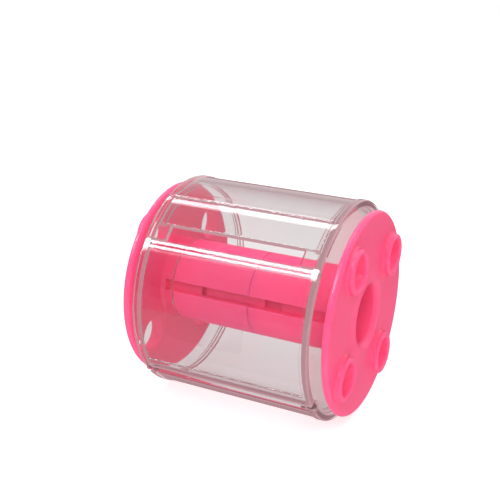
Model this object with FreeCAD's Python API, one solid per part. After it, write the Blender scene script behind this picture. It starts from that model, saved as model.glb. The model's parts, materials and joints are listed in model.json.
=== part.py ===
import FreeCAD, Part
import math
import os

# Ribbon winder for rhythmic gymnastics, in millimetres.
# A clear case holds a reel, which is turned with a fingertip in a raised ring of an end wheel.
# The reel's axis lies along X.  +Z is up, and the door and the ribbon slit face -Y.
# The origin is on the resting plane, under the middle of the reel's axis.
# Places round the axis are angles in degrees from straight up (+Z), turning towards the front (-Y).

# ---- case: driving dimensions ----
CASE_R = 39.8              # outer radius of the raised rims at both ends
CASE_HALF_LENGTH = 33.1    # from the middle to the outer edge of a rim
RIM_WIDTH = 2.6            # width of a rim along the axis
WALL = 2.2                 # wall of the shell and the door
PANEL_INSET = 0.4          # shell and door surface below the rims' surface
REST_FLAT_DEPTH = 0.6      # depth of the flats that the case lies on
WEB_THICKNESS = 1.6        # end web that carries the core, from the rim's inner face outwards
WEB_TO_DOOR_GAP = 0.3      # from the web's edge to the inside of the door
LAP_LENGTH = 2.0           # lip of an end cap inside the shell
LAP_THICKNESS = 1.0
LAP_CLEARANCE = 0.1        # lip to shell, glued
LAP_HINGE_GAP = 4.0        # degrees that the lip stays clear of the hinge
JOIN_OVERLAP = 0.5         # how far a lip or tab runs into the rim that it grows from
RIM_ROUNDING = 0.7         # outer edges of the rims

# ---- ribbon slit, door and seams: angles and sizes ----
SHELL_LIP_ANGLE = 38.5     # edge of the shell above the slit
SHELL_END_ANGLE = 131.5    # edge of the shell under the door's hinge
BEAD_ANGLE = 50.7          # middle of the door's beaded lip
BEAD_R = 1.0               # radius of each of the two beads
BEAD_SPACING = 1.7         # between the middles of the two beads
BEAD_RISE = 0.5            # beads above the door's panel
LATCH_TAB_LENGTH = 5.0     # tabs of the end caps that close the slit's ends
LATCH_GAP = 0.5            # between a tab and the bead
LAND_ANGLE = 115.3         # raised land along the door's foot starts here
HINGE_ANGLE = 127.0
HINGE_BARREL_R = 2.0
HINGE_RISE = 0.1           # barrel above the rims' surface
HINGE_PIN_R = 0.8
HINGE_PIN_LENGTH = 4.4
HINGE_RUNNING_CLEARANCE = 0.05
PIN_SEAT_CLEARANCE = 0.02
PIN_END_ROOM = 0.4         # past the pin's end, in the door
HINGE_SWEEP_GAP = 0.4      # round the barrel and the lugs
DOOR_SIDE_GAP = 0.4        # between the door's barrel and each hinge lug
RIDGE_ANGLE = 18.0         # flat ridge along the top of the shell and over the rims
RIDGE_WIDTH = 3.9
RIDGE_HEIGHT = 0.7         # above the shell, so that it also stands a little above the rims

# ---- label film on the door's panel ----
LABEL_THICKNESS = 0.2
LABEL_LEFT = -19.5
LABEL_LENGTH = 29.5
LABEL_ANGLE = 76.0
LABEL_HEIGHT = 28.4        # measured straight across
LABEL_CORNER_R = 4.0

# ---- reel ----
WHEEL_R = 36.9
WHEEL_THICKNESS = 2.6
WHEEL_GAP = 3.5            # from an end cap to the wheel's inner face
CORE_R = 15.4
CORE_BORE_R = 10.5
CORE_RUNNING_CLEARANCE = 0.05
CORE_FOOT_FILLET = 1.5     # where the core meets the wheel
SPIGOT_R = 12.5
SPIGOT_LENGTH = 18.4
SPIGOT_CLEARANCE = 0.05
SPIGOT_END_ROOM = 1.6      # between the spigot's end and the bottom of its socket
SEAM_CHAMFER = 0.35
SLOT_WIDTH = 3.8           # slots in the core for the ribbon's end
POCKET_START = 5.6         # shallow pocket in the floor of the right half's front slot
POCKET_LENGTH = 6.8
POCKET_DEPTH = 1.0
BORE_LIP_R = 2.4           # rounding at the mouth of the bore
COLLAR_WIDTH = 4.4         # soft collar round the bore
COLLAR_HEIGHT = 0.5
RING_COUNT = 4
RING_TURN = 34.5           # angle of the first finger ring at rest
RING_CENTRE_R = 26.5
RING_R = 7.9
RING_HOLE_R = 5.8
RING_HEIGHT = 2.4
RING_FILLET = 1.0
HOLE_EDGE_ROUNDING = 0.9   # at the back of the wheel

CUT_OVERRUN = 1.0          # how far a cutter runs past the face that it cuts

# ---- derived places ----
SHELL_R = CASE_R - PANEL_INSET
CASE_BORE_R = SHELL_R - WALL
AXIS_HEIGHT = CASE_R - REST_FLAT_DEPTH
RIM_INNER_X = CASE_HALF_LENGTH - RIM_WIDTH
BARREL_HALF_LENGTH = RIM_INNER_X - DOOR_SIDE_GAP
WHEEL_INNER_X = CASE_HALF_LENGTH + WHEEL_GAP
WHEEL_OUTER_X = WHEEL_INNER_X + WHEEL_THICKNESS
BEAD_PATH_R = SHELL_R + BEAD_RISE - BEAD_R
HINGE_PATH_R = CASE_R + HINGE_RISE - HINGE_BARREL_R
SLOT_TURN = RING_TURN + 180.0 / RING_COUNT
SLOT_END_X = WHEEL_INNER_X - CORE_FOOT_FILLET
ARC_BOW = 1.0 - math.sqrt(0.5)    # middle of a quarter arc from the sides of its square, per radius
LAP_R = CASE_BORE_R - LAP_CLEARANCE
LAP_BORE_R = LAP_R - LAP_THICKNESS
AXIS_X = FreeCAD.Vector(1, 0, 0)
ORIGIN = FreeCAD.Vector(0, 0, 0)


def around(radius, angle, x=0.0):
    """Point at a radius and an angle round the reel's axis."""
    turn = math.radians(angle)
    return FreeCAD.Vector(x, -radius * math.sin(turn), radius * math.cos(turn))


def degrees_of(length, radius):
    """Angle that a length along a circle takes."""
    return math.degrees(length / radius)


BEAD_STEP = degrees_of(BEAD_SPACING, BEAD_PATH_R) / 2.0
BEAD_EDGE_ANGLE = BEAD_ANGLE - BEAD_STEP - degrees_of(BEAD_R, BEAD_PATH_R)
TAB_END_ANGLE = BEAD_EDGE_ANGLE - degrees_of(LATCH_GAP, SHELL_R)
LUG_GAP_ANGLE = HINGE_ANGLE - degrees_of(HINGE_BARREL_R + HINGE_SWEEP_GAP, HINGE_PATH_R)


def rod(radius, x_from, x_to, centre=ORIGIN):
    """Solid cylinder along X."""
    base = FreeCAD.Vector(x_from, centre.y, centre.z)
    return Part.makeCylinder(radius, x_to - x_from, base, AXIS_X)


def tube(outer, inner, x_from, x_to, centre=ORIGIN):
    """Hollow cylinder along X."""
    bore = rod(inner, x_from - CUT_OVERRUN, x_to + CUT_OVERRUN, centre)
    return rod(outer, x_from, x_to, centre).cut(bore)


def sector(outer, inner, start, end, x_from, x_to):
    """Curved wall between two angles, along X."""
    middle = (start + end) / 2.0
    edges = [
        Part.Arc(around(outer, start), around(outer, middle), around(outer, end)).toShape(),
        Part.LineSegment(around(outer, end), around(inner, end)).toShape(),
        Part.Arc(around(inner, end), around(inner, middle), around(inner, start)).toShape(),
        Part.LineSegment(around(inner, start), around(outer, start)).toShape(),
    ]
    face = Part.Face(Part.Wire(edges))
    face.translate(FreeCAD.Vector(x_from, 0, 0))
    return face.extrude(FreeCAD.Vector(x_to - x_from, 0, 0))


def revolved(outline, centre=ORIGIN):
    """Closed outline of (x, radius) points and arcs, turned about an axis along X.

    An arc is given as a pair: the point it passes through and the point where it ends.
    """
    edges = []
    last = outline[0]
    for item in outline[1:] + [outline[0]]:
        start = FreeCAD.Vector(last[0], 0, last[1])
        if isinstance(item[0], tuple):
            through = FreeCAD.Vector(item[0][0], 0, item[0][1])
            end = FreeCAD.Vector(item[1][0], 0, item[1][1])
            edges.append(Part.Arc(start, through, end).toShape())
            last = item[1]
        else:
            end = FreeCAD.Vector(item[0], 0, item[1])
            edges.append(Part.LineSegment(start, end).toShape())
            last = item
    solid = Part.Face(Part.Wire(edges)).revolve(ORIGIN, AXIS_X, 360)
    solid.translate(centre)
    return solid


def rounded_block(x_from, length, height, corner, angle):
    """Block with rounded corners that stands across the wall at an angle round the axis."""
    half = height / 2.0
    block = Part.makeBox(length, height, CASE_R, FreeCAD.Vector(x_from, -half, CASE_R / 2.0))
    uprights = [edge for edge in block.Edges if edge.BoundBox.ZLength > WALL]
    block = block.makeFillet(corner, uprights)
    block.rotate(ORIGIN, AXIS_X, angle)
    return block


def mirrored(shape):
    """The same piece at the other end."""
    return shape.mirror(ORIGIN, AXIS_X)


def ridge(x_from, x_to):
    """Flat ridge along the top."""
    half = degrees_of(RIDGE_WIDTH, SHELL_R) / 2.0
    return sector(SHELL_R + RIDGE_HEIGHT, SHELL_R - WALL / 2.0, RIDGE_ANGLE - half, RIDGE_ANGLE + half,
                  x_from, x_to)


def hinge_rod(radius, x_from, x_to):
    """Solid cylinder on the door's hinge axis."""
    return rod(radius, x_from, x_to, around(HINGE_PATH_R, HINGE_ANGLE))


def below_flat():
    """Everything lower than the flats that the case lies on."""
    side = 2.0 * CASE_R
    return Part.makeBox(side, side, side, FreeCAD.Vector(-CASE_R, -CASE_R, -AXIS_HEIGHT - side))


def back_shell():
    """Wall from the slit over the top and the back to the door's hinge."""
    shell = sector(SHELL_R, CASE_BORE_R, SHELL_END_ANGLE, SHELL_LIP_ANGLE + 360.0,
                   -RIM_INNER_X, RIM_INNER_X)
    sweep = hinge_rod(HINGE_BARREL_R + HINGE_SWEEP_GAP, -CASE_HALF_LENGTH, CASE_HALF_LENGTH)
    return shell.fuse(ridge(-RIM_INNER_X, RIM_INNER_X)).cut(sweep).cut(below_flat())


def rim_outline():
    """Outline of a rim's right end, from its inner face round the outer edges to its bore."""
    soft = RIM_ROUNDING
    diagonal = soft * ARC_BOW
    end = CASE_HALF_LENGTH
    return [
        (RIM_INNER_X, CASE_R),
        (end - soft, CASE_R),
        ((end - diagonal, CASE_R - diagonal), (end, CASE_R - soft)),
        (end, CASE_BORE_R + soft),
        ((end - diagonal, CASE_BORE_R + diagonal), (end - soft, CASE_BORE_R)),
    ]


def right_end_cap():
    """Rim with the web that carries the core, a lip inside the shell, latch tab and hinge lug.

    The rim runs round the back only: in front it belongs to the door, and the web ends under it.
    """
    web_outer_x = RIM_INNER_X + WEB_THICKNESS
    web_bore_r = CORE_R + CORE_RUNNING_CLEARANCE
    cap = revolved(rim_outline() + [
        (web_outer_x, CASE_BORE_R),
        (web_outer_x, web_bore_r),
        (RIM_INNER_X, web_bore_r),
    ])
    front = sector(CASE_R + CUT_OVERRUN, CASE_BORE_R - WEB_TO_DOOR_GAP, TAB_END_ANGLE, SHELL_END_ANGLE,
                   RIM_INNER_X - CUT_OVERRUN, CASE_HALF_LENGTH + CUT_OVERRUN)
    lap = sector(LAP_R, LAP_BORE_R, SHELL_END_ANGLE + LAP_HINGE_GAP, SHELL_LIP_ANGLE + 360.0,
                 RIM_INNER_X - LAP_LENGTH, RIM_INNER_X + JOIN_OVERLAP)
    tab = sector(SHELL_R, CASE_BORE_R, SHELL_LIP_ANGLE, TAB_END_ANGLE,
                 RIM_INNER_X - LATCH_TAB_LENGTH, RIM_INNER_X + JOIN_OVERLAP)
    lug = hinge_rod(HINGE_BARREL_R, RIM_INNER_X, CASE_HALF_LENGTH)
    pin_seat = hinge_rod(HINGE_PIN_R + PIN_SEAT_CLEARANCE, RIM_INNER_X - CUT_OVERRUN,
                         RIM_INNER_X + HINGE_PIN_LENGTH / 2.0)
    over_rim = ridge(RIM_INNER_X, CASE_HALF_LENGTH - RIM_ROUNDING)
    cap = cap.cut(front).fuse([lap, tab, lug, over_rim])
    return cap.cut(pin_seat).cut(below_flat())


def front_door():
    """Curved panel between two rims, with a beaded lip at the slit, a land and a barrel at its foot."""
    half = BARREL_HALF_LENGTH
    barrel = hinge_rod(HINGE_BARREL_R, -half, half)
    foot = sector(SHELL_R, CASE_BORE_R, LUG_GAP_ANGLE, HINGE_ANGLE, -half, half)
    foot_land = sector(CASE_R, SHELL_R - JOIN_OVERLAP, LUG_GAP_ANGLE, HINGE_ANGLE, -half, half)
    wall = sector(SHELL_R, CASE_BORE_R, BEAD_ANGLE, LUG_GAP_ANGLE, -RIM_INNER_X, RIM_INNER_X)
    land = sector(CASE_R, SHELL_R - JOIN_OVERLAP, LAND_ANGLE, LUG_GAP_ANGLE, -RIM_INNER_X, RIM_INNER_X)
    upper = rod(BEAD_R, -RIM_INNER_X, RIM_INNER_X, around(BEAD_PATH_R, BEAD_ANGLE - BEAD_STEP))
    lower = rod(BEAD_R, -RIM_INNER_X, RIM_INNER_X, around(BEAD_PATH_R, BEAD_ANGLE + BEAD_STEP))
    between = sector(BEAD_PATH_R + BEAD_R / 2.0, BEAD_PATH_R - BEAD_R / 2.0,
                     BEAD_ANGLE - BEAD_STEP, BEAD_ANGLE + BEAD_STEP, -RIM_INNER_X, RIM_INNER_X)
    full_rim = revolved(rim_outline() + [(RIM_INNER_X, CASE_BORE_R)])
    span = sector(CASE_R + CUT_OVERRUN, CASE_BORE_R - CUT_OVERRUN, BEAD_EDGE_ANGLE, LUG_GAP_ANGLE,
                  RIM_INNER_X - CUT_OVERRUN, CASE_HALF_LENGTH + CUT_OVERRUN)
    rim = full_rim.common(span)
    door = wall.fuse([foot, foot_land, land, barrel, upper, lower, between, rim, mirrored(rim)])
    hole_floor = RIM_INNER_X - HINGE_PIN_LENGTH / 2.0 - PIN_END_ROOM
    pin_hole = hinge_rod(HINGE_PIN_R + HINGE_RUNNING_CLEARANCE, hole_floor, half + CUT_OVERRUN)
    return door.cut(pin_hole).cut(mirrored(pin_hole)).removeSplitter()


def door_hinge_pins():
    """One pin at each end of the door, half in the end cap."""
    half = HINGE_PIN_LENGTH / 2.0
    pin = hinge_rod(HINGE_PIN_R, RIM_INNER_X - half, RIM_INNER_X + half)
    return Part.makeCompound([pin, mirrored(pin)])


def label_film():
    """Thin film with rounded corners on the door's outer face."""
    block = rounded_block(LABEL_LEFT, LABEL_LENGTH, LABEL_HEIGHT, LABEL_CORNER_R, LABEL_ANGLE)
    skin = tube(SHELL_R + LABEL_THICKNESS, SHELL_R, -RIM_INNER_X, RIM_INNER_X)
    return block.common(skin)


def wheel():
    """Right end wheel: round-edged disc with a soft collar and a lipped bore."""
    edge = WHEEL_THICKNESS / 2.0
    foot = CORE_FOOT_FILLET
    lip = BORE_LIP_R
    top = WHEEL_OUTER_X + COLLAR_HEIGHT
    collar_r = CORE_BORE_R + COLLAR_WIDTH
    return revolved([
        (WHEEL_INNER_X - foot, CORE_BORE_R),
        (WHEEL_INNER_X - foot, CORE_R),
        ((WHEEL_INNER_X - foot * ARC_BOW, CORE_R + foot * ARC_BOW), (WHEEL_INNER_X, CORE_R + foot)),
        (WHEEL_INNER_X, WHEEL_R - edge),
        ((WHEEL_INNER_X + edge, WHEEL_R), (WHEEL_OUTER_X, WHEEL_R - edge)),
        (WHEEL_OUTER_X, collar_r + lip),
        ((WHEEL_OUTER_X + COLLAR_HEIGHT * ARC_BOW, collar_r), (top, CORE_BORE_R + lip)),
        ((top - lip * ARC_BOW, CORE_BORE_R + lip * ARC_BOW), (top - lip, CORE_BORE_R)),
    ])


def finger_ring(angle):
    """Raised ring with a round top and a filleted foot, standing on the wheel."""
    wall = RING_R - RING_HOLE_R
    top = WHEEL_OUTER_X + RING_HEIGHT
    crown = wall / 2.0
    foot = RING_FILLET
    inside = WHEEL_INNER_X + WHEEL_THICKNESS / 2.0
    return revolved([
        (inside, RING_HOLE_R),
        (inside, RING_R + foot),
        (WHEEL_OUTER_X, RING_R + foot),
        ((WHEEL_OUTER_X + foot * ARC_BOW, RING_R + foot * ARC_BOW), (WHEEL_OUTER_X + foot, RING_R)),
        (top - crown, RING_R),
        ((top, RING_R - crown), (top - crown, RING_HOLE_R)),
    ], around(RING_CENTRE_R, angle))


def finger_hole(angle):
    """Cutter for a through hole, flared at the back of the wheel."""
    soft = HOLE_EDGE_ROUNDING
    bow = soft * ARC_BOW
    back = WHEEL_INNER_X
    return revolved([
        (back - CUT_OVERRUN, 0.0),
        (back - CUT_OVERRUN, RING_HOLE_R + soft),
        (back, RING_HOLE_R + soft),
        ((back + bow, RING_HOLE_R + bow), (back + soft, RING_HOLE_R)),
        (WHEEL_OUTER_X + RING_HEIGHT, RING_HOLE_R),
        (WHEEL_OUTER_X + RING_HEIGHT, 0.0),
    ], around(RING_CENTRE_R, angle))


def ringed_wheel():
    """Right end wheel with its finger rings and their holes."""
    disc = wheel()
    turns = [RING_TURN + place * 360.0 / RING_COUNT for place in range(RING_COUNT)]
    disc = disc.fuse([finger_ring(turn) for turn in turns])
    for turn in turns:
        disc = disc.cut(finger_hole(turn))
    return disc


def slot_cutter(x_from, x_to, floor_r, turn):
    """Block that cuts a slot into the core from outside down to a radius."""
    depth = CORE_R + CUT_OVERRUN - floor_r
    cutter = Part.makeBox(x_to - x_from, SLOT_WIDTH, depth,
                          FreeCAD.Vector(x_from, -SLOT_WIDTH / 2.0, floor_r))
    cutter.rotate(ORIGIN, AXIS_X, turn)
    return cutter


def core_tube():
    """Right half of the core, from the seam to the wheel."""
    return revolved([
        (0.0, CORE_BORE_R),
        (0.0, CORE_R - SEAM_CHAMFER),
        (SEAM_CHAMFER, CORE_R),
        (WHEEL_INNER_X, CORE_R),
        (WHEEL_INNER_X, CORE_BORE_R),
    ])


def right_reel_half():
    """Wheel, half core with two blind slots, one of them with a pocket, and the spigot."""
    spigot = tube(SPIGOT_R, CORE_BORE_R, -SPIGOT_LENGTH, WALL)
    half = ringed_wheel().fuse([core_tube(), spigot])
    floor_r = SPIGOT_R + SPIGOT_CLEARANCE
    for turn in (SLOT_TURN, SLOT_TURN + 180.0):
        half = half.cut(slot_cutter(-CUT_OVERRUN, SLOT_END_X, floor_r, turn))
    pocket = slot_cutter(POCKET_START, POCKET_START + POCKET_LENGTH, floor_r - POCKET_DEPTH, SLOT_TURN)
    return half.cut(pocket)


def left_reel_half():
    """Wheel and half core with the socket for the spigot; its slots open into the socket."""
    half = ringed_wheel().fuse(core_tube())
    socket_r = SPIGOT_R + SPIGOT_CLEARANCE
    socket_end = SPIGOT_LENGTH + SPIGOT_END_ROOM
    half = half.cut(rod(socket_r, -CUT_OVERRUN, socket_end))
    for turn in (SLOT_TURN, SLOT_TURN + 180.0):
        half = half.cut(slot_cutter(-CUT_OVERRUN, socket_end, CORE_BORE_R, turn))
        half = half.cut(slot_cutter(socket_end - CUT_OVERRUN, SLOT_END_X, socket_r, turn))
    return mirrored(half)


def save(name, shape):
    """Lift the piece so that the case lies on the plane z = 0, and write it."""
    shape.translate(FreeCAD.Vector(0, 0, AXIS_HEIGHT))
    if len(shape.Solids) == 1:
        shape = shape.Solids[0]
    shape.exportStep("parts/%s.step" % name)
    box = shape.BoundBox
    print("%-18s solids %d valid %s volume %.1f box x %.1f..%.1f y %.1f..%.1f z %.1f..%.1f" % (
        name, len(shape.Solids), shape.isValid(), shape.Volume,
        box.XMin, box.XMax, box.YMin, box.YMax, box.ZMin, box.ZMax))


os.makedirs("parts", exist_ok=True)
right_cap = right_end_cap()
save("back_shell", back_shell())
save("left_end_cap", mirrored(right_cap))
save("right_end_cap", right_cap)
save("front_door", front_door())
save("door_hinge_pins", door_hinge_pins())
save("label_film", label_film())
save("left_reel_half", left_reel_half())
save("right_reel_half", right_reel_half())
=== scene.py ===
import json
import math
from functools import partial

import bmesh
import bpy
import numpy as np
from mathutils import Euler, Matrix, Vector


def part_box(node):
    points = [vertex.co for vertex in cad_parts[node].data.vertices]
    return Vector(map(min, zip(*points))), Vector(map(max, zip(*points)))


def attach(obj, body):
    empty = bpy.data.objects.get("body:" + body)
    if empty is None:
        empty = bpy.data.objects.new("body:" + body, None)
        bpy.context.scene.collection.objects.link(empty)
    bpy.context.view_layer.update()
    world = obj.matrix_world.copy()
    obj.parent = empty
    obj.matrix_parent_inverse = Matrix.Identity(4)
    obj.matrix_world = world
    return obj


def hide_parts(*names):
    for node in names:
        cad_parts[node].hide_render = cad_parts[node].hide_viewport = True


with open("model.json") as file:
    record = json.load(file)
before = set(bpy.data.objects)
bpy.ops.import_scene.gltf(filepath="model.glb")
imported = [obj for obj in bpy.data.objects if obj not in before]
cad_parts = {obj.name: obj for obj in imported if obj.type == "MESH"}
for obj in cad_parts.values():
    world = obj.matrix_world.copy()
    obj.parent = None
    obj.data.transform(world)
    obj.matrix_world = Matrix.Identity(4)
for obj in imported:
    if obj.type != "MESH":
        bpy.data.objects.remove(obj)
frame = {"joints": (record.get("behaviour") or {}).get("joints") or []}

bl_info = {
    "name": "Ribbon Winder",
    "version": (1, 0, 0),
    "blender": (4, 5, 0),
    "location": "3D View > Sidebar > Winder",
    "description": "Clear drum case with a hinged door round a pink ribbon reel, and its studio",
    "category": "Object",
}

# Places round an axis along X are angles in degrees from straight up, turning towards the front (-Y).
# A cross-section is an array of (y, z) points, and a turned outline is an array of (x, radius) points.
MM = 0.001
FULL_TURN = 360.0
WELD = 0.0005 * MM            # points nearer than this are one point
HOLD = 0.06 * MM              # a row this near an edge keeps the face beside it flat
WHITE = (1.0, 1.0, 1.0, 1.0)

JOINTS = {joint["name"]: Vector(joint["pos_m"]) for joint in frame["joints"]}
AXIS_HEIGHT = JOINTS["reel_spin"].z
HINGE = np.array(JOINTS["door_swing"].yz) - (0.0, AXIS_HEIGHT)
HINGE_ANGLE = math.degrees(math.atan2(-HINGE[0], HINGE[1]))
CASE_HALF_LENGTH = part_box("right_end_cap")[1].x
CASE_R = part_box("right_end_cap")[1].z - AXIS_HEIGHT
SHELL_HALF_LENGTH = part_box("back_shell")[1].x
SHELL_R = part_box("back_shell")[1].z - AXIS_HEIGHT
REEL_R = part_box("right_reel_half")[1].z - AXIS_HEIGHT
RING_TOP_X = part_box("right_reel_half")[1].x
SPIGOT_END_X = -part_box("right_reel_half")[0].x
LABEL_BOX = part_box("label_film")
PIN_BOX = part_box("door_hinge_pins")


def linear(hex_colour):
    """Linear red, green, blue and alpha of an sRGB hex colour."""
    channels = [int(hex_colour[place:place + 2], 16) / 255.0 for place in (1, 3, 5)]
    turned = [c / 12.92 if c <= 0.04045 else ((c + 0.055) / 1.055) ** 2.4 for c in channels]
    return (*turned, 1.0)


def length(name, description, millimetres):
    """A property that holds a length."""
    return bpy.props.FloatProperty(name=name, description=description, default=millimetres * MM,
                                   min=0.0, precision=5, unit="LENGTH")


def turn(name, description, degrees):
    """A property that holds an angle in degrees round the axis."""
    return bpy.props.FloatProperty(name=name, description=description, default=degrees)


def tilt(name, description, degrees):
    """A property that holds an angle of the camera."""
    return bpy.props.FloatProperty(name=name, description=description, default=math.radians(degrees),
                                   subtype="ANGLE")


def amount(name, description, value, unit="NONE"):
    """A property that holds a brightness, a power or another amount that isn't negative."""
    return bpy.props.FloatProperty(name=name, description=description, default=value, min=0.0, unit=unit)


def colour(name, description, hex_colour):
    """A property that holds a colour."""
    return bpy.props.FloatVectorProperty(name=name, description=description, subtype="COLOR", size=4,
                                         min=0.0, max=1.0, default=linear(hex_colour))


class WinderCase(bpy.types.PropertyGroup):
    """Sizes of the clear case and its door."""

    wall: length("Wall", "Wall of the shell, the door and the rims", 2.2)
    edge: length("Edge rounding", "Rounding of the moulded edges", 0.3)
    rim_edge: length("Rim rounding", "Rounding of the rims' outer edges", 0.7)
    joint_gap: length("Joint gap", "Visible gap between the shell and an end cap", 0.05)
    web: length("End web", "Thickness of the web that carries the core", 1.6)
    web_gap: length("Web to door", "From the web's edge to the inside of the door", 0.3)
    web_bore: length("Web bore", "Radius of the hole that the core runs in", 15.45)
    lap_length: length("Lap length", "Lip of an end cap inside the shell", 2.0)
    lap: length("Lap thickness", "Thickness of that lip", 1.0)
    lap_gap: length("Lap gap", "From the lip to the shell", 0.1)
    lap_hinge_gap: turn("Lap start", "Degrees that the lip stays clear of the hinge", 4.0)
    lip_angle: turn("Shell lip", "Edge of the shell above the slit", 38.5)
    shell_end: turn("Shell end", "Edge of the shell under the hinge", 131.5)
    ridge_angle: turn("Ridge", "Middle of the flat ridge along the top", 18.0)
    ridge_width: length("Ridge width", "Width of the ridge", 3.9)
    ridge_height: length("Ridge height", "Height of the ridge above the shell", 0.7)
    ridge_edge: length("Ridge rounding", "Rounding of the ridge's long edges", 0.68)
    tab_length: length("Tab length", "Tabs that close the slit's ends", 5.0)
    latch_gap: length("Latch gap", "Between a tab and the bead", 0.5)
    bead_angle: turn("Bead", "Middle of the door's beaded lip", 50.7)
    bead: length("Bead radius", "Radius of each of the two beads", 1.0)
    bead_spacing: length("Bead spacing", "Between the middles of the two beads", 1.7)
    bead_rise: length("Bead rise", "Height of the beads above the door's panel", 0.5)
    bead_flat: length("Bead flat", "Depth of the flats along the tops of the beads", 0.25)
    land_angle: turn("Land", "Start of the raised land along the door's foot", 115.3)
    barrel: length("Barrel radius", "Radius of the hinge barrel and its lugs", 2.0)
    sweep_gap: length("Sweep gap", "Room round the barrel and the lugs", 0.4)
    side_gap: length("Side gap", "Between the barrel and each hinge lug", 0.4)
    pin: length("Pin radius", "Radius of the hinge pins", 0.8)
    pin_length: length("Pin length", "Length of a hinge pin", 4.4)


class WinderReel(bpy.types.PropertyGroup):
    """Sizes of the reel and its end wheels."""

    thickness: length("Wheel thickness", "Thickness of an end wheel", 2.6)
    core: length("Core radius", "Radius of the core that the ribbon is wound on", 15.4)
    bore: length("Bore radius", "Radius of the open bore", 10.5)
    foot: length("Core foot", "Fillet where the core meets the wheel", 1.5)
    spigot: length("Spigot radius", "Radius of the spigot inside the other half", 12.5)
    socket_gap: length("Socket gap", "From the spigot to its socket", 0.05)
    socket_depth: length("Socket depth", "Depth of the socket", 20.0)
    seam: length("Seam chamfer", "Chamfer at the seam of the two halves", 0.35)
    slot_width: length("Slot width", "Width of the slots for the ribbon's end", 3.8)
    slot_edge: length("Slot edge", "Rounding of the slots' edges", 0.35)
    pocket_start: length("Pocket start", "Shallow pocket in the floor of the front slot", 5.6)
    pocket_length: length("Pocket length", "Length of that pocket", 6.8)
    pocket_depth: length("Pocket depth", "Depth of that pocket", 1.0)
    bore_lip: length("Bore lip", "Rounding at the mouth of the bore", 2.4)
    collar_width: length("Collar width", "Soft collar round the bore", 4.4)
    collar_height: length("Collar height", "Height of the collar", 0.5)
    ring_turn: turn("Ring turn", "Angle of the first finger ring", 34.5)
    ring_place: length("Ring place", "From the axis to the middle of a ring", 26.5)
    ring: length("Ring radius", "Outer radius of a finger ring", 7.9)
    ring_hole: length("Ring hole", "Radius of the finger hole", 5.8)
    ring_height: length("Ring height", "Height of a ring above the wheel", 2.4)
    ring_foot: length("Ring foot", "Fillet at the ring's foot", 1.0)
    hole_edge: length("Hole edge", "Rounding of the hole at the back of the wheel", 0.9)
    rings: bpy.props.IntProperty(name="Rings", description="Finger rings on a wheel", default=4, min=3)


class WinderFinish(bpy.types.PropertyGroup):
    """Colours of the materials."""

    pink: colour("Pink", "Moulded pink of the reel", "#F84E7F")
    pink_pale: colour("Pale pink", "Where the pink moulding flowed thin", "#FC5E8C")
    clear: colour("Clear", "Clear styrene of the case, at its faces", "#FCFBFB")
    depth: colour("Depth", "Tone of the clear styrene where it is thick", "#D8CACE")
    film: colour("Film", "Clear label film", "#FCFAFB")
    steel: colour("Steel", "Drawn steel of the hinge pins", "#B4B4B8")
    # this tone is also the colour of the clear plastic's painted glow
    reflected: colour("Reflected", "Tone of the room in reflections, warmed by the reel", "#EEC0C7")
    floor: colour("Floor", "Pale studio floor", "#C6C6C6")


class WinderStudio(bpy.types.PropertyGroup):
    """Camera and light."""

    camera_place: bpy.props.FloatVectorProperty(
        name="Camera place", description="Where the camera stands", subtype="TRANSLATION",
        unit="LENGTH", default=(0.1326, -0.2786, 0.1773))
    camera_pitch: tilt("Camera pitch", "How far the camera looks down", 21.39)
    camera_heading: tilt("Camera heading", "Turn of the camera to the left of +Y", 26.62)
    camera_roll: tilt("Camera roll", "Roll of the camera", 0.19)
    focal_length: amount("Focal length", "Focal length in mm on a sensor 36 mm wide", 65.61)
    top_power: amount("Top softbox", "Radiant power of the softbox above", 2.31, "POWER")
    front_power: amount("Front softbox", "Radiant power of the softbox in front", 2.475, "POWER")
    sky: amount("Sky", "Strength of the even light from all sides", 0.72)
    walls: amount("Walls", "Brightness of the room's walls in reflections", 0.03)
    ceiling: amount("Ceiling", "Brightness of the room's ceiling in reflections", 0.6)
    window: amount("Window", "Brightness of the window above, in reflections", 11.0)
    front_window: amount("Front window", "Brightness of the window in front, in reflections", 18.0)
    edges: amount("Edges", "Brightness of the room in the plastic's edges", 0.45)
    backdrop: amount("Backdrop", "Brightness of the backdrop through clear plastic", 0.85)
    floor_glow: amount("Floor glow", "What the floor adds where the camera looks at it", 0.6)
    floor_through: amount("Floor through plastic", "Brightness of the floor through clear plastic", 1.0)
    floor_bounce: amount("Floor bounce", "Brightness of the floor as matt surfaces see it", 1.6)


# ---- shapes ----

def around(radius, angle):
    """Points (y, z) at a radius and an angle: minus radius times sine, radius times cosine."""
    phase = np.radians(angle)
    return np.stack(np.broadcast_arrays(-radius * np.sin(phase), radius * np.cos(phase)), axis=-1)


def arc(centre, radius, start, end, steps):
    """Points at one radius round a centre (y, z), at even angles from start to end."""
    return np.asarray(centre) + around(radius, np.linspace(start, end, steps))


def degrees_of(distance, radius):
    """Angle that a length along a circle takes: length over radius, in degrees."""
    return math.degrees(distance / radius)


def eased(points, limit):
    """Points (y, z) drawn in to a limit of distance from the axis, with soft shoulders.

    New distance = limit - ease * ln(1 + e to the power of (limit - distance) / ease).
    """
    ease = 0.04 * MM
    distance = np.linalg.norm(points, axis=-1, keepdims=True)
    return points / distance * (limit - ease * np.logaddexp(0.0, (limit - distance) / ease))


def corner(centre, radius, start, end, steps):
    """Arc of an outline of (x, radius) points; 0 degrees points away from the axis, 90 along +X."""
    return arc(centre, radius, -start, -end, steps)


def turned(outline, angles, centre=(0.0, 0.0)):
    """Grid of an outline of (x, radius) points turned to each angle about an axis along X at a centre."""
    outline = np.asarray(outline, float)
    ring = around(outline[None, :, 1], np.asarray(angles, float)[:, None]) + np.asarray(centre)
    along = np.broadcast_to(outline[None, :, 0], ring.shape[:2])
    return np.concatenate([along[..., None], ring], axis=-1)


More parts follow.
